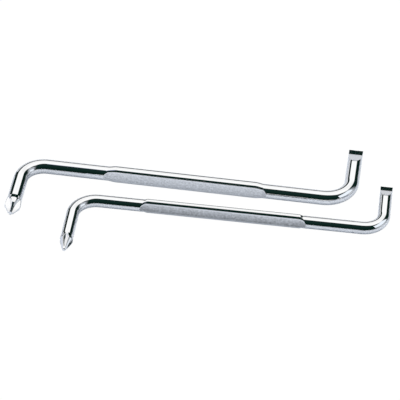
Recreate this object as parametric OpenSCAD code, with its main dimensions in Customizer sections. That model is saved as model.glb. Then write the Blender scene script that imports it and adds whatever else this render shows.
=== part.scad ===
// Two offset screwdrivers, a large one and a small one, lying side by side.
// Each is one round steel bar, bent at both ends into a flat Z. One leg ends in a
// cross tip, the other in a flat blade, and the middle is pressed flat as a grip.
// Millimetres. +X runs along the bars, the cross tips point to -Y, +Z is up.

/* [Large bar] */
// Diameter of the round bar
large_bar_d = 6.0; // [4.5:0.1:8]
// Distance between the centre lines of the two legs
large_span = 135.3; // [110:0.1:180]
// Centre line of the bar to the end of the cross tip
large_cross_leg = 32.0; // [26:0.1:45]
// Centre line of the bar to the end of the flat blade
large_blade_leg = 32.6; // [26:0.1:45]
// Centre-line radius of the bend above the cross tip
large_cross_bend = 9.7; // [7:0.1:13]
// Centre-line radius of the bend below the flat blade
large_blade_bend = 11.2; // [7:0.1:13]

/* [Large grip] */
// Length of the pressed flats, outer ends of the ramps included
large_grip_len = 65.2; // [40:0.1:90]
// How far the grip's middle lies from the bar's middle
large_grip_shift = -0.3; // [-5:0.1:5]
// Height of the grip over its round crowns
large_grip_h = 7.0; // [6.2:0.1:8]
// Thickness of the grip between its flats
large_grip_t = 4.2; // [3:0.1:5.5]

/* [Large cross tip] */
// Diameter of the blunt nose
large_nose_d = 2.0; // [1.2:0.1:3]
// Diameter over the swollen wings
large_wing_d = 6.5; // [6:0.1:7]
// Half angle of the nose cone
large_nose_angle = 29.5; // [25:0.5:33]
// Turn of the four wings about the tip's axis
large_wing_turn = 10.5; // [0:0.5:90]
// Distance from the tip's axis to the flute's root at the nose
large_flute_web = 0.7; // [0.4:0.05:0.9]
// Length of the flutes
large_flute_len = 7.3; // [7:0.1:12]
// Distance from the nose at which the swelling of the wings has died away
large_wing_len = 8.8; // [7.2:0.1:8.9]

/* [Large blade] */
// Thickness of the blade at its end
large_blade_t = 1.1; // [0.8:0.05:1.6]
// Length of the blade's taper
large_blade_len = 10.0; // [8:0.1:14]
// Length of the ground land at the blade's end
large_blade_land = 3.4; // [2:0.1:5]

/* [Small bar] */
// Diameter of the round bar
small_bar_d = 5.15; // [4:0.05:7]
// Distance between the centre lines of the two legs
small_span = 125.75; // [100:0.05:170]
// Centre line of the bar to the end of the cross tip
small_cross_leg = 32.3; // [26:0.1:45]
// Centre line of the bar to the end of the flat blade
small_blade_leg = 27.1; // [22:0.1:45]
// Centre-line radius of the bend above the cross tip
small_cross_bend = 9.7; // [6:0.1:12]
// Centre-line radius of the bend below the flat blade
small_blade_bend = 8.7; // [6:0.1:12]

/* [Small grip] */
// Length of the pressed flats, outer ends of the ramps included
small_grip_len = 65.5; // [40:0.1:85]
// How far the grip's middle lies from the bar's middle
small_grip_shift = -2.3; // [-5:0.1:5]
// Height of the grip over its round crowns
small_grip_h = 6.26; // [5.4:0.02:7]
// Thickness of the grip between its flats
small_grip_t = 3.65; // [2.6:0.05:4.8]

/* [Small cross tip] */
// Diameter of the blunt nose
small_nose_d = 1.3; // [1.2:0.1:2.4]
// Diameter over the swollen wings
small_wing_d = 5.55; // [5.2:0.05:5.6]
// Half angle of the nose cone
small_nose_angle = 20; // [20:0.5:30]
// Turn of the four wings about the tip's axis
small_wing_turn = 43.5; // [0:0.5:90]
// Distance from the tip's axis to the flute's root at the nose
small_flute_web = 0.9; // [0.4:0.05:1]
// Length of the flutes
small_flute_len = 7.9; // [7.2:0.1:11]
// Distance from the nose at which the swelling of the wings has died away
small_wing_len = 8.2; // [8.2:0.1:9]

/* [Small blade] */
// Thickness of the blade at its end
small_blade_t = 0.95; // [0.7:0.05:1.4]
// Length of the blade's taper
small_blade_len = 8.0; // [6:0.1:12]
// Length of the ground land at the blade's end
small_blade_land = 2.8; // [1.5:0.1:4.5]

/* [Shared forging] */
// Length of the ramp at each end of a flat
ramp_len = 1.15; // [0.8:0.05:2]
// Length over which the bar swells to the grip's crowns
swell_len = 7.0; // [4:0.1:12]
// Angle between the two walls of a flute
flute_angle = 95; // [86:1:100]
// Slope of the blade's land
land_angle = 8; // [4:0.5:12]
// Slope of the blade's hollow shoulder where it meets the land
shoulder_angle = 12; // [9:0.5:14]
// Length of the taper from the wings down to the bar
wing_run = 2.2; // [1:0.1:2.4]

/* [Layout] */
// Small bar's middle, to the right of the large bar's middle
small_x = 19.85; // [-30:0.05:30]
// Small bar's middle, in front of the large bar's middle
small_y = -16.79; // [-60:0.05:-14]
// Turn of the small tool against the large one
small_turn = 1.0; // [-3:0.1:3]

/* [Hidden] */
$fn = 48;
// More facets for the wide, shallow arcs of the shoulders and the flutes
arc_fn = 240;
// How far every cutter runs past what it cuts
overrun = 1.0;
// Depth of the V-rimmed wheel that cuts a flute
wheel_depth = 6.0;
steel = [0.80, 0.81, 0.83];
flutes = 4;
// Both tools rest on the lower crown of their grip
large_z = large_grip_h / 2;
small_z = small_grip_h / 2;
// Outer limits of the pair around the large bar's middle
low_x = -large_span / 2 - large_wing_d / 2;
bend_x = small_span / 2 - small_blade_bend;
high_x = small_x + bend_x * cos(small_turn) - small_blade_bend * sin(small_turn)
    + small_blade_bend + small_bar_d / 2;
low_y = small_y - small_cross_leg * cos(small_turn)
    - (small_span + small_nose_d) / 2 * sin(small_turn);
high_y = large_blade_leg;
// The frame's origin is the middle of the pair, on the table
large_x = -(low_x + high_x) / 2;
large_y = -(low_y + high_y) / 2;

// Radius of a circle with start slope a that passes the point dx, dz away
function arc_r(dx, dz, a) = norm([dx, dz]) / 2 / sin(atan2(dz, dx) - a);

// Radius of a wheel whose cut rises by dz over the length dx
function wheel_r(dx, dz) = (dx * dx + dz * dz) / 2 / dz;

// Half outline of the rise from radius low to radius high: a hollow arc, then a full one
module swell_outline(low, high) {
    r = wheel_r(swell_len / 2, (high - low) / 2);
    difference() {
        square([high, swell_len / 2]);
        translate([low + r, 0])
            circle(r = r, $fn = arc_fn);
    }
    intersection() {
        translate([0, swell_len / 2])
            square([high + overrun, swell_len / 2]);
        translate([high - r, swell_len])
            circle(r = r, $fn = arc_fn);
    }
}

// Straight bar along X, swollen to the grip's crowns in the middle
module swollen_bar(d, from, to, shift, len, h) {
    start = shift - len / 2;
    end = shift + len / 2;
    rotate([0, 90, 0])
        rotate_extrude() {
            translate([0, from])
                square([d / 2, start - from]);
            translate([0, start])
                swell_outline(d / 2, h / 2);
            translate([0, start + swell_len])
                square([h / 2, len - 2 * swell_len]);
            translate([0, end])
                mirror([0, 1])
                    swell_outline(d / 2, h / 2);
            translate([0, end])
                square([d / 2, to - end]);
        }
}

// What the press takes off the two sides of the grip, ramps included
module grip_press(d, shift, len, h, t) {
    reach = h / 2 + overrun;
    slope = ramp_len / (d - t) * 2;
    outer = len / 2 + (reach - d / 2) * slope;
    for (side = [0, 1])
        mirror([0, side, 0])
            translate([shift, 0, 0])
                linear_extrude(height = 2 * reach, center = true)
                    polygon([
                        [-outer, reach],
                        [-len / 2 + ramp_len, t / 2],
                        [len / 2 - ramp_len, t / 2],
                        [outer, reach]
                    ]);
}

// Quarter bend that turns the bar's end at +X towards +Y
module bend(d, span, bend_r) {
    translate([span / 2 - bend_r, bend_r, 0])
        rotate([0, 0, -90])
            rotate_extrude(angle = 90)
                translate([bend_r, 0])
                    circle(d = d);
}

// Straight leg along +Y from the bend's end, as long as len
module leg(d, span, bend_r, len) {
    translate([span / 2, bend_r, 0])
        rotate([-90, 0, 0])
            cylinder(d = d, h = len);
}

// V-rimmed wheel that cuts one flute: its rim is nearest the axis at the nose
module flute_wheel(r, web) {
    half = wheel_depth * tan(flute_angle / 2);
    translate([r + web, 0, 0])
        rotate([90, 0, 0])
            rotate([0, 0, 90])
                rotate_extrude(angle = 180, $fn = arc_fn)
                    polygon([[r, 0], [r - wheel_depth, half], [r - wheel_depth, -half]]);
}

// Cross tip with its nose at the origin and its shank along +Z
module cross_tip(d, nose_d, wing_d, nose_angle, turn, web, len, wing_len) {
    cone = (wing_d - nose_d) / 2 / tan(nose_angle);
    wheel = wheel_r(len, d / 2 - web);
    difference() {
        rotate_extrude()
            polygon([
                [0, 0],
                [nose_d / 2, 0],
                [wing_d / 2, cone],
                [wing_d / 2, wing_len - wing_run],
                [d / 2, wing_len],
                [d / 2, len + 2 * overrun],
                [0, len + 2 * overrun]
            ]);
        for (i = [0 : flutes - 1])
            rotate([0, 0, turn + (i + 0.5) * 360 / flutes])
                flute_wheel(wheel, web);
    }
}

// Side view of what grinding takes off one face of the blade, its end at the origin
module blade_grind(d, t, len, land) {
    reach = d / 2 + overrun;
    edge = t / 2 + land * tan(land_angle);
    r = arc_r(len - land, d / 2 - edge, shoulder_angle);
    far = len + overrun;
    intersection() {
        polygon([
            [-overrun, t / 2 - overrun * tan(land_angle)],
            [far, t / 2 + far * tan(land_angle)],
            [far, reach],
            [-overrun, reach]
        ]);
        translate([land - r * sin(shoulder_angle), edge + r * cos(shoulder_angle)])
            circle(r = r, $fn = arc_fn * 2);
    }
}

// Flat blade cut from the end of the leg, above and below
module blade_cut(d, span, leg_len, t, len, land) {
    for (side = [0, 1])
        mirror([0, 0, side])
            translate([span / 2 - d, leg_len, 0])
                rotate([90, 0, 90])
                    linear_extrude(height = 2 * d)
                        mirror([1, 0])
                            blade_grind(d, t, len, land);
}

module large_screwdriver() {
    color(steel)
        translate([large_x, large_y, large_z]) {
            difference() {
                swollen_bar(
                    large_bar_d,
                    large_cross_bend - large_span / 2,
                    large_span / 2 - large_blade_bend,
                    large_grip_shift,
                    large_grip_len,
                    large_grip_h
                );
                grip_press(
                    large_bar_d,
                    large_grip_shift,
                    large_grip_len,
                    large_grip_h,
                    large_grip_t
                );
            }
            bend(large_bar_d, large_span, large_blade_bend);
            difference() {
                leg(
                    large_bar_d,
                    large_span,
                    large_blade_bend,
                    large_blade_leg - large_blade_bend
                );
                blade_cut(
                    large_bar_d,
                    large_span,
                    large_blade_leg,
                    large_blade_t,
                    large_blade_len,
                    large_blade_land
                );
            }
            rotate([0, 0, 180]) {
                bend(large_bar_d, large_span, large_cross_bend);
                leg(
                    large_bar_d,
                    large_span,
                    large_cross_bend,
                    large_cross_leg - large_cross_bend - large_flute_len - overrun
                );
                translate([large_span / 2, large_cross_leg, 0])
                    rotate([90, 0, 0])
                        cross_tip(
                            large_bar_d,
                            large_nose_d,
                            large_wing_d,
                            large_nose_angle,
                            large_wing_turn,
                            large_flute_web,
                            large_flute_len,
                            large_wing_len
                        );
            }
        }
}

module small_screwdriver() {
    color(steel)
        translate([large_x + small_x, large_y + small_y, small_z])
            rotate([0, 0, small_turn]) {
                difference() {
                    swollen_bar(
                        small_bar_d,
                        small_cross_bend - small_span / 2,
                        small_span / 2 - small_blade_bend,
                        small_grip_shift,
                        small_grip_len,
                        small_grip_h
                    );
                    grip_press(
                        small_bar_d,
                        small_grip_shift,
                        small_grip_len,
                        small_grip_h,
                        small_grip_t
                    );
                }
                bend(small_bar_d, small_span, small_blade_bend);
                difference() {
                    leg(
                        small_bar_d,
                        small_span,
                        small_blade_bend,
                        small_blade_leg - small_blade_bend
                    );
                    blade_cut(
                        small_bar_d,
                        small_span,
                        small_blade_leg,
                        small_blade_t,
                        small_blade_len,
                        small_blade_land
                    );
                }
                rotate([0, 0, 180]) {
                    bend(small_bar_d, small_span, small_cross_bend);
                    leg(
                        small_bar_d,
                        small_span,
                        small_cross_bend,
                        small_cross_leg - small_cross_bend - small_flute_len - overrun
                    );
                    translate([small_span / 2, small_cross_leg, 0])
                        rotate([90, 0, 0])
                            cross_tip(
                                small_bar_d,
                                small_nose_d,
                                small_wing_d,
                                small_nose_angle,
                                small_wing_turn,
                                small_flute_web,
                                small_flute_len,
                                small_wing_len
                            );
                }
            }
}

large_screwdriver();
small_screwdriver();
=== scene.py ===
import math

import bmesh
import bpy
import numpy as np
from mathutils import Matrix, Vector


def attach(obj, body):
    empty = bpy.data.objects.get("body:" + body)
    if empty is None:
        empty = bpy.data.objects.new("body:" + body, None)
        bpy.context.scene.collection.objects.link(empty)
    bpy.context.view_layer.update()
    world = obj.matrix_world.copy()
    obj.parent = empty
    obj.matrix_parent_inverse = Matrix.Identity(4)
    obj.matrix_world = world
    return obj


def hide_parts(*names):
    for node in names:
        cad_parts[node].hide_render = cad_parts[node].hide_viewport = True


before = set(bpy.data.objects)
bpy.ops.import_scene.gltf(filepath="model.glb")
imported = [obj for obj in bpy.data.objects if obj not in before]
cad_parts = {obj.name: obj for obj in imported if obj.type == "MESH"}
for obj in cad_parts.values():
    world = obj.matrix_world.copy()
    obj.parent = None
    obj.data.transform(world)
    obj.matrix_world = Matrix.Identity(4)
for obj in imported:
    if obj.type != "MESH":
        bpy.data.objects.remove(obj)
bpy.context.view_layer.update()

MM = 0.001
TURN = 2 * math.pi
scene = bpy.context.scene

# Sizes in millimetres and degrees, the same as the solids', and values that only the look has:
# flat_sunk is how much deeper each flat lies, swell_len how soon the crowns are full, crown_lift the
# share by which the upper crown is higher, flat_shade the flats' painted shade as their brightness at
# their foot and top, and seed a shift of the noises in metres. That painted shade stands for the tools'
# shadow on the table which the flats mirror, deepest at their foot and on the small tool, which the large
# one shades.
LARGE = dict(
    node="large_screwdriver", body="large", slot="large_chrome", name="large_bar", seed=0.0,
    d=6.0, span=135.3, cross_leg=32.0, blade_leg=32.6, cross_bend=9.7, blade_bend=11.2,
    grip_len=65.2, grip_shift=-0.3, grip_h=7.0, grip_t=4.2,
    flat_sunk=0.20, swell_len=3.6, crown_lift=0.030, flat_shade=(0.85, 0.91),
    nose_d=2.0, wing_d=6.5, nose_angle=29.5, wing_turn=10.5, flute_web=0.7, flute_len=7.3, wing_len=8.8,
    blade_t=1.1, blade_len=10.0, land=3.4,
)
SMALL = dict(
    node="small_screwdriver", body="small", slot="small_chrome", name="small_bar", seed=0.37,
    d=5.15, span=125.75, cross_leg=32.3, blade_leg=27.1, cross_bend=9.7, blade_bend=8.7,
    grip_len=65.5, grip_shift=-2.3, grip_h=6.26, grip_t=3.65,
    flat_sunk=0.44, swell_len=1.7, crown_lift=0.048, flat_shade=(0.48, 0.80),
    nose_d=1.3, wing_d=5.55, nose_angle=20.0, wing_turn=43.5, flute_web=0.9, flute_len=7.9, wing_len=8.2,
    blade_t=0.95, blade_len=8.0, land=2.8,
)
FLUTES = 4
FLUTE_ANGLE = 95.0
LAND_ANGLE = 8.0
SHOULDER_ANGLE = 12.0
WING_RUN = 2.2

# The look's own ramps: their length, and how far outside the grip's ends they and the swell begin
RAMP_LEN = 1.75
RAMP_LEAD = 1.35
SWELL_LEAD = 0.4

# Where the small tool lies from the large one
SMALL_X = 19.85
SMALL_Y = -16.79
SMALL_TURN = math.radians(1.0)

# Softened edges in millimetres, and the flutes' rounded bottom in radians
BLADE_EDGE = 0.045
BLADE_END = 0.06
RAMP_SOFT = 0.10
FLAT_ROUND = 1.2
FLUTE_EDGE = 0.06
FLUTE_BOTTOM = 0.05
WING_EDGE = 0.12
NOSE_ROUND = 0.28
NOSE_BLEND = 0.9

# Depths in millimetres over which a form, or the mark that its material reads, comes in fully
BLADE_FADE = 0.35
ROLL_FADE = 0.7
GRIP_FADE = 0.3
FLUTE_FADE = 0.5
BLADE_MARK = 0.03
FLUTE_MARK = 0.1
PRESSED_MARK = 0.15

# How far past its length a form is still worked out, in millimetres
BLADE_PAST = 1.5
LAND_PAST = 0.5
TIP_PAST = 1.2

# Least values that still count: a flat's depth in millimetres, a divisor, and angles in radians
LEAST_DEPTH = 0.001
LEAST_DIVISOR = 1e-6
LEAST_FOLD = 0.02
LEAST_ROLL = 0.07

# Points round a section, and how strongly and how widely, in radians, they gather at its corners:
# at the grip's rolled edges the width is a share of the roll
RING = 144
GRID = np.linspace(0.0, TURN, 20 * RING + 1)
BLADE_CORNER = (5.0, 0.05)
FLUTE_CORNER = (3.0, 0.10)
WING_CORNER = (4.0, 0.07)
ROLL_WEIGHT = 3.5
ROLL_REACH = 1.2

# Rings along a stretch of the bar, in millimetres: how far past its start they begin, how far past
# its stop they end, and their step
LAND_RINGS = (0.6, -0.15, 0.35)
HOLLOW_RINGS = (0.35, 0.5, 0.22)
BLADE_LEG_RINGS = (0.9, -0.5, 1.2)
BAR_IN_RINGS = (1.5, -2.2, 2.0)
BAR_OUT_RINGS = (2.2, -1.0, 2.0)
LEAD_RINGS = (-2.5, -1.35, 0.25)
RAMP_RINGS = (-1.3, 0.5, 0.055)
SWELL_RINGS = (0.6, 1.0, 0.12)
CROWN_RINGS = (1.5, 0.0, 2.5)
CROSS_LEG_RINGS = (1.0, -0.6, 1.2)
TIP_RINGS = (0.0, -0.55, 0.14)
TIP_MARGIN = 1.0
LEAST_STEP = 0.008

# Rings round each bend, and the places of single rings from the blade's end, the land's edge and the nose
BEND_RINGS = 41
END_RINGS = (0.0, 0.01, 0.03, 0.06, 0.12, 0.3)
EDGE_RINGS = (-0.12, -0.05, -0.015, 0.015, 0.05, 0.12)
NOSE_RINGS = (0.5, 0.42, 0.34, 0.27, 0.21, 0.16, 0.11, 0.07, 0.035, 0.012, 0.0)

# Chrome: its colour, and the noises, with their scale per metre, that break it up
PLATE = (0.902, 0.905, 0.91, 1.0)
WAVE = dict(Scale=110.0, Detail=2.0, Roughness=0.45)
CLOUD = dict(Scale=260.0, Detail=4.0, Roughness=0.55)
PITS = dict(Scale=1150.0, Detail=3.0, Roughness=0.65)
GRAIN = dict(Scale=2600.0, Detail=3.0, Roughness=0.6)
POLISH = dict(Scale=5200.0, Detail=2.0, Roughness=0.7)
POLISH_STRETCH = (0.06, 1.0, 1.0)
SEED_SHARES = (1.0, 0.7, 0.3)

# What the noises do to the chrome's tone, roughness and surface, and the heights between which a flat's
# painted shade goes from its level at the foot to its level at the top
CLOUD_TONE = (0.955, 1.0)
PIT_RANGE = (0.3, 0.7)
PIT_TONE = 0.18
FLAT_FOOT = 0.8 * MM
FLAT_TOP = 5.2 * MM
PLATE_ROUGH = 0.015
PRESSED_ROUGH = 0.10
GROUND_ROUGH = 0.06
CLOUD_ROUGH = 0.025
WAVE_BUMP = dict(Strength=0.35, Distance=0.02 * MM)
GRAIN_BUMP = dict(Strength=0.12, Distance=0.004 * MM)
POLISH_BUMP = dict(Strength=0.15, Distance=0.003 * MM)


def linear(*rgb):
    """Display colour 0-255 to scene-linear."""
    out = []
    for v in rgb:
        v /= 255.0
        out.append(v / 12.92 if v <= 0.04045 else ((v + 0.055) / 1.055) ** 2.4)
    return (*out, 1.0)


# Table: half its size and where its edge fades out for the chrome, in metres, its colours, and the
# shares and levels of its own light, glow for the chrome and white for the camera
TABLE_HALF = 4.0
TABLE_EDGE = (-0.045, -0.10)
PAPER = (0.90, 0.93, 0.985, 1.0)
PAST_TABLE = (0.01, 0.025, 0.02, 1.0)
TABLE_GLOW = (0.82, 0.88, 1.0, 1.0)
TABLE_GLOW_LEVEL = 0.95
TABLE_GLOW_SHARE = 0.19
TABLE_ROUGH = 0.15
TABLE_IOR = 1.4
WHITE = (1.0, 1.0, 1.0, 1.0)
WHITE_LEVEL = 1.03
WHITE_SHARE = 0.965

# Upright cards that only the chrome sees: X and Y of both ends, height of foot and top, in metres. The
# far one is lighter by what the chrome takes away, so that its mirror image has the colour given.
SIDE_CARD = dict(start=(0.165, -0.068), end=(0.165, 0.044), foot=0.026, top=0.112)
SIDE_TINT = (0.97, 1.04, 1.12, 1.0)
FAR_CARD = dict(start=(-0.37, 0.40), end=(0.17, 0.40), foot=0.001, top=0.103)
MIRRORED_SHARE = 0.9
FAR_TINT = tuple(k / MIRRORED_SHARE for k in linear(209, 211, 216)[:3]) + (1.0,)

# Room, darker low down, and its pale panels: the azimuths between which the first side fades in and
# the second fades out, the elevations between which an edge does, in degrees, and the colour.
# Azimuth 0 is along +Y and 90 along +X.
ROOM_LOW = (0.0035, 0.0145, 0.0115, 1.0)
ROOM_HIGH = (0.0078, 0.0236, 0.0206, 1.0)
ROOM_BLEND = (20, 50)
LEFT_PANEL = ((-155, -120, -62, -54), (34, 24), linear(222, 228, 242))
RIGHT_PANEL = ((56, 76, 100, 126), (52, 43), linear(184, 189, 196))
HIGH_PANEL = ((-150, -136, -100, -84), (48, 60), linear(150, 162, 196))

# Softbox on a plane one unit overhead: where its sides fade in and out, the slanting line that cuts
# off one corner, its colour, and the band across it that is a little dimmer
BOX_X = (-1.65, -1.35, 0.74, 0.86)
BOX_Y = (-0.15, -0.09, 1.64, 1.76)
BOX_CUT = (0.8, 0.6)
BOX_CUT_BLEND = (0.52, 0.40)
BOX_HORIZON = (0.01, 0.03)
BOX_LIGHT = (1.12, 1.12, 1.12, 1.0)
BOX_DIM = (1.0, 1.0, 1.0, 1.0)
BOX_DIM_BAND = (0.55, 0.85, 1.0, 1.25)
LEAST_HEIGHT = 0.02

# How much brighter than it looks the room lights matt surfaces
MATT_LEVEL = 1.7

# Camera fitted to both outlines of the photograph: angles in degrees, lengths in millimetres, the aim
# from the large tool's centre, and the near and far clip in metres
ELEVATION = 40.0
AZIMUTH = -6.0467
ROLL = 2.5787
DISTANCE = 1069.19
FOCAL_PX = 2597.2170
PHOTO_PX = 400.0
SENSOR = 36.0
AIM = (6.767, -6.7566, 0.5)
CLIP = (0.05, 50.0)


# Places

def places():
    """Centre and turn of each tool, with the pair centred on the origin."""
    bend = SMALL["blade_bend"]
    bend_x = SMALL["span"] / 2 - bend
    low_x = -LARGE["span"] / 2 - LARGE["wing_d"] / 2
    high_x = (SMALL_X + bend_x * math.cos(SMALL_TURN) - bend * math.sin(SMALL_TURN)
              + bend + SMALL["d"] / 2)
    low_y = (SMALL_Y - SMALL["cross_leg"] * math.cos(SMALL_TURN)
             - (SMALL["span"] + SMALL["nose_d"]) / 2 * math.sin(SMALL_TURN))
    x = -(low_x + high_x) / 2
    y = -(low_y + LARGE["blade_leg"]) / 2
    large = (x, y, LARGE["grip_h"] / 2, 0.0)
    small = (x + SMALL_X, y + SMALL_Y, SMALL["grip_h"] / 2, SMALL_TURN)
    return large, small


# Form

def smooth_min(a, b, width):
    """The lesser of a and b, rounded over where they cross."""
    h = np.clip(1.0 - np.abs(a - b) / width, 0.0, 1.0)
    return np.minimum(a, b) - h * h * width / 4.0


def ease(s):
    """0 to 1 while s does, level at both ends."""
    s = np.clip(s, 0.0, 1.0)
    return s * s * (3 - 2 * s)


def share(value, full):
    """0 to 1 while value goes from 0 to full."""
    return np.clip(value / full, 0.0, 1.0)


def wrapped(angle):
    """The same angle, at most half a turn either way."""
    return (angle + math.pi) % TURN - math.pi


def rounding(radius, left):
    """How far a rounded end has fallen back where this much is left to it."""
    return radius - math.sqrt(radius ** 2 - (radius - left) ** 2)


def ring_angles(corners=()):
    """Angles round the section, closer together at its corners."""
    density = np.ones_like(GRID)
    for angle, weight, width in corners:
        density += weight * np.exp(-((wrapped(GRID - angle) / width) ** 2))
    total = np.concatenate([[0.0], np.cumsum((density[1:] + density[:-1]) / 2)])
    return np.interp(np.arange(RING) / RING * total[-1], total, GRID)


def four_ways(angle):
    """The same corner in all four quarters of a section."""
    return [k % TURN for k in (angle, math.pi - angle, math.pi + angle, -angle)]


def round_section(radius):
    """Section of the plain round bar, neither ground nor pressed."""
    return ring_angles(), np.full(RING, radius), np.zeros(RING), np.zeros(RING)


def stretch(start, stop, rings):
    """Lengths of the rings between start and stop."""
    past_start, past_stop, step = rings
    return np.arange(start + past_start, stop + past_stop, step)


class Tool:
    """One bent bar, followed from the blade's end to the tip of the cross."""

    def __init__(self, sizes, place):
        t = self.t = sizes
        self.place = place
        self.r = t["d"] / 2
        self.blade_bend_at = t["blade_leg"] - t["blade_bend"]
        self.bar_at = self.blade_bend_at + t["blade_bend"] * math.pi / 2
        self.cross_bend_at = self.bar_at + (t["span"] - t["blade_bend"] - t["cross_bend"])
        self.cross_leg_at = self.cross_bend_at + t["cross_bend"] * math.pi / 2
        self.end = self.cross_leg_at + (t["cross_leg"] - t["cross_bend"])
        self.grip_mid = t["span"] / 2 - t["blade_bend"] - t["grip_shift"]
        self.tip_len = max(t["flute_len"], t["wing_len"])

        # the wheel that grinds a flute runs out on the bar's surface
        rise = self.r - t["flute_web"]
        self.wheel = (t["flute_len"] ** 2 + rise ** 2) / 2 / rise

        # the hollow of the blade is an arc from the land to the shoulder
        edge = t["blade_t"] / 2 + t["land"] * math.tan(math.radians(LAND_ANGLE))
        dx = t["blade_len"] - t["land"]
        dz = self.r - edge
        shoulder = math.radians(SHOULDER_ANGLE)
        self.hollow = math.hypot(dx, dz) / 2 / math.sin(math.atan2(dz, dx) - shoulder)
        self.hollow_x = t["land"] - self.hollow * math.sin(shoulder)
        self.hollow_z = edge + self.hollow * math.cos(shoulder)

    def path(self, s):
        """Point, and the direction across the path in its plane, at length s from the blade's end."""
        t = self.t
        half = t["span"] / 2
        bend = t["blade_bend"]
        if s <= self.blade_bend_at:
            return (half, t["blade_leg"] - s), (1.0, 0.0)
        if s <= self.bar_at:
            k = (s - self.blade_bend_at) / bend
            point = (half - bend + bend * math.cos(k), bend - bend * math.sin(k))
            return point, (math.cos(k), -math.sin(k))
        if s <= self.cross_bend_at:
            return (half - bend - (s - self.bar_at), 0.0), (0.0, -1.0)
        bend = t["cross_bend"]
        if s <= self.cross_leg_at:
            k = (s - self.cross_bend_at) / bend
            point = (-half + bend - bend * math.sin(k), -bend + bend * math.cos(k))
            return point, (math.sin(k), -math.cos(k))
        return (-half, -bend - (s - self.cross_leg_at)), (1.0, 0.0)

    def stations(self):
        """Lengths that get a ring, closer together where the form turns quickly."""
        t = self.t
        mid = self.bar_at + self.grip_mid
        half = t["grip_len"] / 2
        deep = RAMP_LEN - RAMP_LEAD
        tip_at = self.end - (self.tip_len + TIP_MARGIN)
        grip_end = np.concatenate([
            stretch(0.0, 0.0, LEAD_RINGS),
            stretch(0.0, deep, RAMP_RINGS),
            stretch(deep, t["swell_len"], SWELL_RINGS),
            stretch(t["swell_len"], half, CROWN_RINGS),
        ])
        out = np.concatenate([
            END_RINGS,
            stretch(0.0, t["land"], LAND_RINGS),
            t["land"] + np.array(EDGE_RINGS),
            stretch(t["land"], t["blade_len"], HOLLOW_RINGS),
            stretch(t["blade_len"], self.blade_bend_at, BLADE_LEG_RINGS),
            np.linspace(self.blade_bend_at, self.bar_at, BEND_RINGS),
            stretch(self.bar_at, mid - half, BAR_IN_RINGS),
            mid - half + grip_end,
            mid + half - grip_end,
            stretch(mid + half, self.cross_bend_at, BAR_OUT_RINGS),
            np.linspace(self.cross_bend_at, self.cross_leg_at, BEND_RINGS),
            stretch(self.cross_leg_at, tip_at, CROSS_LEG_RINGS),
            stretch(tip_at, self.end, TIP_RINGS),
            self.end - np.array(NOSE_RINGS),
        ])
        out = np.unique(np.round(np.clip(out, 0.0, self.end), 4))
        keep = [out[0]]
        for s in out[1:]:
            if s - keep[-1] > LEAST_STEP:
                keep.append(s)
        keep[-1] = self.end
        return np.array(keep)

    def section(self, s):
        """Angles and radii of the section at s, and how ground and how pressed each point is."""
        if s < self.t["blade_len"] + BLADE_PAST:
            return self.blade_section(s)
        if self.bar_at < s < self.cross_bend_at:
            return self.grip_section(s)
        if self.end - s < self.tip_len + TIP_PAST:
            return self.tip_section(s)
        return round_section(self.r)

    def blade_section(self, s):
        """The bar, ground hollow from above and below down to a slightly tapered land."""
        t = self.t
        land = t["blade_t"] / 2 + s * math.tan(math.radians(LAND_ANGLE))
        hollow = self.hollow_z - math.sqrt(max(self.hollow ** 2 - (s - self.hollow_x) ** 2, 0.0))
        high = max(land, hollow) if s < t["land"] + LAND_PAST else hollow
        weight, width = BLADE_CORNER
        weight *= share(self.r - high, BLADE_FADE)
        corner = math.asin(min(high / self.r, 1.0))
        angles = ring_angles([(k, weight, width) for k in four_ways(corner)])
        face = high / np.maximum(np.abs(np.sin(angles)), LEAST_DIVISOR)
        radii = smooth_min(np.full(RING, self.r), face, BLADE_EDGE)
        if s < BLADE_END:
            radii = radii - rounding(BLADE_END, s)
        return angles, radii, share(self.r - face, BLADE_MARK), np.zeros(RING)

    def grip_section(self, s):
        """Two pressed flats with ramps at their ends and rolled edges, between swollen crowns."""
        t = self.t
        into = t["grip_len"] / 2 - abs((s - self.bar_at) - self.grip_mid)
        grown = ease((into + SWELL_LEAD) / (t["swell_len"] + SWELL_LEAD))
        crown = self.r + (t["grip_h"] / 2 - self.r) * grown
        flat = t["grip_t"] / 2 - t["flat_sunk"]
        slope = (self.r - flat) / RAMP_LEN
        left = RAMP_LEN - RAMP_LEAD - into
        rise = max(left, 0.0) * slope
        if abs(left) < RAMP_SOFT:
            rise = (left + RAMP_SOFT) ** 2 / (4 * RAMP_SOFT) * slope
        deep = flat + rise
        if deep > crown - LEAST_DEPTH:
            return round_section(crown)

        # the roll's centre, and the angles at which it meets the flat and the crown
        roll = FLAT_ROUND * share(crown - deep, ROLL_FADE)
        roll_x = deep - roll
        roll_z = math.sqrt(max((crown - roll) ** 2 - roll_x ** 2, 0.0))
        low = math.atan2(roll_z, deep)
        high = math.atan2(roll_z, roll_x)
        weight = ROLL_WEIGHT * share(crown - deep, GRIP_FADE)
        width = ROLL_REACH * max((high - low) / 2, LEAST_ROLL)
        angles = ring_angles([(k, weight, width) for k in four_ways((low + high) / 2)])
        fold = np.arccos(np.clip(np.abs(np.cos(angles)), 0.0, 1.0))
        along = roll_x * np.cos(fold) + roll_z * np.sin(fold)
        rolled = along + np.sqrt(np.maximum(roll ** 2 - roll_x ** 2 - roll_z ** 2 + along ** 2, 0.0))
        face = deep / np.maximum(np.cos(fold), LEAST_DIVISOR)
        radii = np.where(fold < low, face, np.where(fold < high, rolled, crown))

        # the press leaves the upper crown a little higher
        radii = radii * (1 + t["crown_lift"] * grown * np.maximum(np.sin(angles), 0.0))
        return angles, radii, np.zeros(RING), share((low - fold) * crown, PRESSED_MARK)

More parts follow.
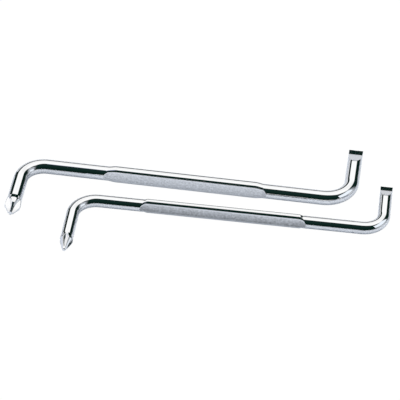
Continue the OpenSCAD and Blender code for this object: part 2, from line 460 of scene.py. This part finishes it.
    def tip_section(self, s):
        """The forged swell, its cone and the four ground flutes."""
        t = self.t
        p = self.end - s
        cone = t["nose_d"] / 2 + p * math.tan(math.radians(t["nose_angle"]))
        swell = self.r + (t["wing_d"] / 2 - self.r) * share(t["wing_len"] - p, WING_RUN)
        body = smooth_min(cone, swell, WING_EDGE)
        web = self.wheel + t["flute_web"] - math.sqrt(self.wheel ** 2 - p ** 2)
        half = math.radians(FLUTE_ANGLE / 2)
        edge = half - math.asin(min(web * math.sin(half) / body, 1.0)) if web < body else 0.0
        step = 360 / FLUTES
        flutes = [math.radians(180 - (t["wing_turn"] + step / 2 + step * i)) for i in range(FLUTES)]
        depth = share(body - web, FLUTE_FADE)
        corners = []
        for k in flutes:
            corners.append((k % TURN, FLUTE_CORNER[0] * depth, FLUTE_CORNER[1]))
            for way in (-edge, edge):
                corners.append(((k + way) % TURN, WING_CORNER[0] * depth, WING_CORNER[1]))
        angles = ring_angles(corners)
        radii = np.full(RING, body)
        ground = np.zeros(RING)
        for k in flutes:
            off = np.sqrt(wrapped(angles - k) ** 2 + FLUTE_BOTTOM ** 2) - FLUTE_BOTTOM
            wall = web * math.sin(half) / np.sin(np.maximum(half - off, LEAST_FOLD))
            radii = smooth_min(radii, wall, FLUTE_EDGE)
            ground = np.maximum(ground, share(body - wall, FLUTE_MARK))
        if p < NOSE_ROUND:
            radii = radii - rounding(NOSE_ROUND, p) * np.minimum(radii / NOSE_BLEND, 1.0)
        return angles, radii, ground, np.zeros(RING)

    def ring(self, s):
        """Points of the section at s in the frame's millimetres, and their two marks."""
        (px, py), (ex, ey) = self.path(s)
        angles, radii, ground, pressed = self.section(s)
        across = radii * np.cos(angles)
        x = px + across * ex
        y = py + across * ey
        x0, y0, z0, turn = self.place
        ct, st = math.cos(turn), math.sin(turn)
        points = np.stack([x0 + x * ct - y * st, y0 + x * st + y * ct, z0 + radii * np.sin(angles)], 1)
        return points, ground, pressed

    def build(self):
        rings = [self.ring(float(s)) for s in self.stations()]
        points, ground, pressed = (np.concatenate(values) for values in zip(*rings))
        faces = []
        for start in range(0, (len(rings) - 1) * RING, RING):
            for j in range(RING):
                k = (j + 1) % RING
                faces.append((start + j, start + k, start + RING + k, start + RING + j))
        last = (len(rings) - 1) * RING
        faces.append(tuple(reversed(range(RING))))
        faces.append(tuple(last + j for j in range(RING)))
        mesh = bpy.data.meshes.new(self.t["name"])
        mesh.from_pydata([tuple(v) for v in points * MM], [], faces)
        mesh.update()
        for name, values in (("ground", ground), ("pressed", pressed)):
            layer = mesh.attributes.new(name, "FLOAT", "POINT")
            layer.data.foreach_set("value", values.astype(np.float32))
        mesh.validate()
        normals_out(mesh)
        mesh.shade_smooth()
        for cap in mesh.polygons[-2:]:
            cap.use_smooth = False
        obj = bpy.data.objects.new(self.t["name"], mesh)
        scene.collection.objects.link(obj)
        return obj


def normals_out(mesh):
    bm = bmesh.new()
    bm.from_mesh(mesh)
    bmesh.ops.recalc_face_normals(bm, faces=bm.faces)
    bm.to_mesh(mesh)
    bm.free()


# Node helpers

def node(tree, kind, **values):
    n = tree.nodes.new(kind)
    for key, value in values.items():
        n.inputs[key].default_value = value
    return n


def plug(tree, socket, value):
    """Links value to the socket if it comes from a node, and else sets it there."""
    if isinstance(value, bpy.types.NodeSocket):
        tree.links.new(value, socket)
    else:
        socket.default_value = value


def maths(tree, kind, *values):
    n = tree.nodes.new("ShaderNodeMath")
    n.operation = kind
    for socket, value in zip(n.inputs, values):
        plug(tree, socket, value)
    return n.outputs[0]


def product(tree, first, *others):
    for value in others:
        first = maths(tree, "MULTIPLY", first, value)
    return first


def blend(tree, factor, a, b, kind="MIX"):
    n = tree.nodes.new("ShaderNodeMix")
    n.data_type = "RGBA"
    n.blend_type = kind
    for key, value in (("Factor", factor), ("A", a), ("B", b)):
        plug(tree, n.inputs[key], value)
    return n.outputs["Result"]


def remap(tree, value, start, stop, low, high):
    """low to high, evenly, while value goes from start to stop."""
    n = tree.nodes.new("ShaderNodeMapRange")
    for key, number in (("From Min", start), ("From Max", stop), ("To Min", low), ("To Max", high)):
        n.inputs[key].default_value = number
    tree.links.new(value, n.inputs["Value"])
    return n


def ramp(tree, value, low, high):
    """0 below low, 1 above high, smooth between; falls instead when low is above high."""
    rising = low < high
    n = remap(tree, value, min(low, high), max(low, high), 0.0 if rising else 1.0, 1.0 if rising else 0.0)
    n.interpolation_type = "SMOOTHSTEP"
    return n.outputs["Result"]


def band(tree, value, sides):
    """Rises from 0 to 1 between the first two of the sides, and falls between the last two."""
    return product(tree, ramp(tree, value, sides[0], sides[1]), ramp(tree, value, sides[3], sides[2]))


def noise(tree, vector, values):
    n = node(tree, "ShaderNodeTexNoise", **values)
    tree.links.new(vector, n.inputs["Vector"])
    return n.outputs["Fac"]


def bump(tree, height, values, under=None):
    n = node(tree, "ShaderNodeBump", **values)
    tree.links.new(height, n.inputs["Height"])
    if under:
        tree.links.new(under, n.inputs["Normal"])
    return n.outputs["Normal"]


def mark(tree, name):
    n = tree.nodes.new("ShaderNodeAttribute")
    n.attribute_name = name
    return n.outputs["Fac"]


def by_ray(tree, *kinds):
    """1 for rays of these kinds, else 0."""
    path = tree.nodes.new("ShaderNodeLightPath")
    seen = path.outputs[kinds[0]]
    for kind in kinds[1:]:
        seen = maths(tree, "MAXIMUM", seen, path.outputs[kind])
    return seen


def emission(tree, colour, level):
    return node(tree, "ShaderNodeEmission", Color=colour, Strength=level).outputs[0]


def mix_shader(tree, factor, a, b):
    n = tree.nodes.new("ShaderNodeMixShader")
    for socket, value in zip(n.inputs, (factor, a, b)):
        tree.links.new(value, socket)
    return n.outputs[0]


def empty_material(name):
    """A material with nothing but its output, and that output's socket."""
    mat = bpy.data.materials.new(name)
    mat.use_nodes = True
    mat.node_tree.nodes.clear()
    return mat, mat.node_tree, mat.node_tree.nodes.new("ShaderNodeOutputMaterial").inputs["Surface"]


# Chrome

def chrome(name, seed, flat_shade):
    """Polished plate: faint waviness from forging, fine polishing lines, satin where pressed or ground,
    and painted shade on the pressed flats.
    """
    mat = bpy.data.materials.new(name)
    mat.use_nodes = True
    tree = mat.node_tree
    bsdf = tree.nodes["Principled BSDF"]
    bsdf.inputs["Metallic"].default_value = 1.0
    coords = tree.nodes.new("ShaderNodeTexCoord").outputs["Object"]
    mapping = node(tree, "ShaderNodeMapping", Location=[seed * k for k in SEED_SHARES])
    tree.links.new(coords, mapping.inputs["Vector"])
    place = mapping.outputs["Vector"]
    ground = mark(tree, "ground")
    pressed = mark(tree, "pressed")
    cloud = noise(tree, place, CLOUD)

    tone = remap(tree, cloud, 0.0, 1.0, *CLOUD_TONE).outputs["Result"]
    colour = blend(tree, 1.0, PLATE, tone, "MULTIPLY")
    # painted shade on the pressed flats, darker towards their foot, with fine pits in them
    colour = blend(tree, 1.0, colour, flat_shade_and_pits(tree, coords, place, pressed, flat_shade), "MULTIPLY")
    plug(tree, bsdf.inputs["Base Color"], colour)

    rough = maths(tree, "MULTIPLY_ADD", pressed, PRESSED_ROUGH, PLATE_ROUGH)
    rough = maths(tree, "MULTIPLY_ADD", ground, GROUND_ROUGH, rough)
    rough = maths(tree, "MULTIPLY_ADD", cloud, CLOUD_ROUGH, rough)
    plug(tree, bsdf.inputs["Roughness"], rough)

    lines = node(tree, "ShaderNodeMapping", Scale=POLISH_STRETCH)
    tree.links.new(place, lines.inputs["Vector"])
    normal = bump(tree, noise(tree, place, WAVE), WAVE_BUMP)
    normal = bump(tree, noise(tree, place, GRAIN), GRAIN_BUMP, normal)
    normal = bump(tree, noise(tree, lines.outputs["Vector"], POLISH), POLISH_BUMP, normal)
    plug(tree, bsdf.inputs["Normal"], normal)
    return mat


def flat_shade_and_pits(tree, coords, place, pressed, flat_shade):
    """Painted shade on the pressed flats, darkest along their lower edges where the table they mirror lies
    in the tools' shadow, with fine pits.
    """
    split = tree.nodes.new("ShaderNodeSeparateXYZ")
    tree.links.new(coords, split.inputs[0])
    foot, top = flat_shade
    # painted shade: darker low down on the flats, for the tools' shadow on the table they mirror
    painted_shade = remap(tree, split.outputs["Z"], FLAT_FOOT, FLAT_TOP, 1.0 - foot, 1.0 - top).outputs["Result"]
    pits = remap(tree, noise(tree, place, PITS), *PIT_RANGE, -PIT_TONE, PIT_TONE).outputs["Result"]
    return maths(tree, "SUBTRACT", 1.0, product(tree, maths(tree, "ADD", painted_shade, pits), pressed))


# Studio

def table_material():
    """Pale table: white to the camera, lavender grey and slightly glossy to the chrome."""
    mat, tree, surface = empty_material("studio_floor")
    split = tree.nodes.new("ShaderNodeSeparateXYZ")
    tree.links.new(tree.nodes.new("ShaderNodeTexCoord").outputs["Object"], split.inputs[0])
    # the table ends in front of the tools: chrome sees the dark room beyond its edge
    beyond = product(tree, ramp(tree, split.outputs["Y"], *TABLE_EDGE), by_ray(tree, "Is Glossy Ray"))
    paper = tree.nodes.new("ShaderNodeBsdfDiffuse")
    plug(tree, paper.inputs["Color"], blend(tree, beyond, PAPER, PAST_TABLE))
    body = mix_shader(tree, product(tree, by_ray(tree, "Is Glossy Ray"), TABLE_GLOW_SHARE),
                      paper.outputs[0], emission(tree, TABLE_GLOW, TABLE_GLOW_LEVEL))
    gloss = node(tree, "ShaderNodeBsdfGlossy", Roughness=TABLE_ROUGH)
    coat = node(tree, "ShaderNodeFresnel", IOR=TABLE_IOR)
    coated = mix_shader(tree, coat.outputs[0], body, gloss.outputs[0])
    white = product(tree, by_ray(tree, "Is Camera Ray"), WHITE_SHARE)
    plug(tree, surface, mix_shader(tree, white, coated, emission(tree, WHITE, WHITE_LEVEL)))
    return mat


def card_material(name, tint):
    """Pale card that only the chrome sees."""
    mat, tree, surface = empty_material(name)
    clear = tree.nodes.new("ShaderNodeBsdfTransparent").outputs[0]
    plug(tree, surface, mix_shader(tree, by_ray(tree, "Is Glossy Ray"), clear, emission(tree, tint, 1.0)))
    return mat


def sheet(name, corners, mat):
    mesh = bpy.data.meshes.new(name)
    mesh.from_pydata(corners, [], [(0, 1, 2, 3)])
    mesh.update()
    mesh.materials.append(mat)
    obj = bpy.data.objects.new(name, mesh)
    scene.collection.objects.link(obj)


def table():
    k = TABLE_HALF
    sheet("floor", [(-k, -k, 0), (k, -k, 0), (k, k, 0), (-k, k, 0)], table_material())


def card(name, tint, start, end, foot, top):
    corners = [(*start, foot), (*end, foot), (*end, top), (*start, top)]
    sheet(name, corners, card_material("studio_" + name, tint))


def softbox(tree, x, y, z):
    """Share of the softbox in this direction, and its colour there."""
    high = maths(tree, "MAXIMUM", z, LEAST_HEIGHT)
    u = maths(tree, "DIVIDE", x, high)
    v = maths(tree, "DIVIDE", y, high)
    cut = maths(tree, "SUBTRACT", product(tree, u, BOX_CUT[0]), product(tree, v, BOX_CUT[1]))
    inside = product(tree, band(tree, u, BOX_X), ramp(tree, cut, *BOX_CUT_BLEND), band(tree, v, BOX_Y),
                     ramp(tree, z, *BOX_HORIZON))
    return inside, blend(tree, band(tree, v, BOX_DIM_BAND), BOX_LIGHT, BOX_DIM)


def studio_world():
    """Dark room with a softbox overhead and pale panels round it."""
    world = bpy.data.worlds.new("studio")
    scene.world = world
    world.use_nodes = True
    tree = world.node_tree
    split = tree.nodes.new("ShaderNodeSeparateXYZ")
    tree.links.new(tree.nodes.new("ShaderNodeTexCoord").outputs["Generated"], split.inputs[0])
    x, y, z = split.outputs
    azimuth = maths(tree, "DEGREES", maths(tree, "ARCTAN2", x, y))
    elevation = maths(tree, "DEGREES", maths(tree, "ARCSINE", z))

    room = blend(tree, ramp(tree, elevation, *ROOM_BLEND), ROOM_LOW, ROOM_HIGH)
    for sides, edge, colour in (LEFT_PANEL, RIGHT_PANEL, HIGH_PANEL):
        panel = product(tree, band(tree, azimuth, sides), ramp(tree, elevation, *edge))
        room = blend(tree, panel, room, colour)
    inside, glow = softbox(tree, x, y, z)
    room = blend(tree, inside, room, glow)
    background = tree.nodes["Background"]
    plug(tree, background.inputs["Color"], blend(tree, by_ray(tree, "Is Camera Ray"), room, WHITE))

    # matt surfaces get the level at which paper looks like paper; for chrome and the camera it stays 1
    sharp = by_ray(tree, "Is Camera Ray", "Is Glossy Ray")
    plug(tree, background.inputs["Strength"],
         maths(tree, "ADD", product(tree, sharp, 1.0 - MATT_LEVEL), MATT_LEVEL))


# Camera

def place_camera(large_x, large_y):
    """The photograph's viewpoint, aimed at a point that is given from the large tool's centre."""
    elevation, azimuth, roll = (math.radians(k) for k in (ELEVATION, AZIMUTH, ROLL))
    look = Vector((math.sin(azimuth) * math.cos(elevation),
                   math.cos(azimuth) * math.cos(elevation),
                   -math.sin(elevation)))
    side = Vector((math.cos(azimuth), -math.sin(azimuth), 0.0))
    above = side.cross(look)
    right = side * math.cos(roll) + above * math.sin(roll)
    up = above * math.cos(roll) - side * math.sin(roll)
    aim = Vector(((large_x + AIM[0]) * MM, (large_y + AIM[1]) * MM, AIM[2] * MM))
    data = bpy.data.cameras.new("camera")
    data.sensor_width = SENSOR
    data.lens = SENSOR * FOCAL_PX / PHOTO_PX
    data.clip_start, data.clip_end = CLIP
    camera = bpy.data.objects.new("camera", data)
    scene.collection.objects.link(camera)
    pose = Matrix((right, up, -look)).transposed().to_4x4()
    pose.translation = aim - look * (DISTANCE * MM)
    camera.matrix_world = pose
    scene.camera = camera


large_place, small_place = places()
table()
card("side_card", SIDE_TINT, **SIDE_CARD)
card("far_card", FAR_TINT, **FAR_CARD)
studio_world()
place_camera(*large_place[:2])

for tool, place in ((LARGE, large_place), (SMALL, small_place)):
    piece = Tool(tool, place).build()
    piece.data.materials.append(chrome(tool["slot"] + "_plate", tool["seed"], tool["flat_shade"]))
    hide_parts(tool["node"])
    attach(piece, tool["body"])

scene.view_settings.view_transform = "Standard"
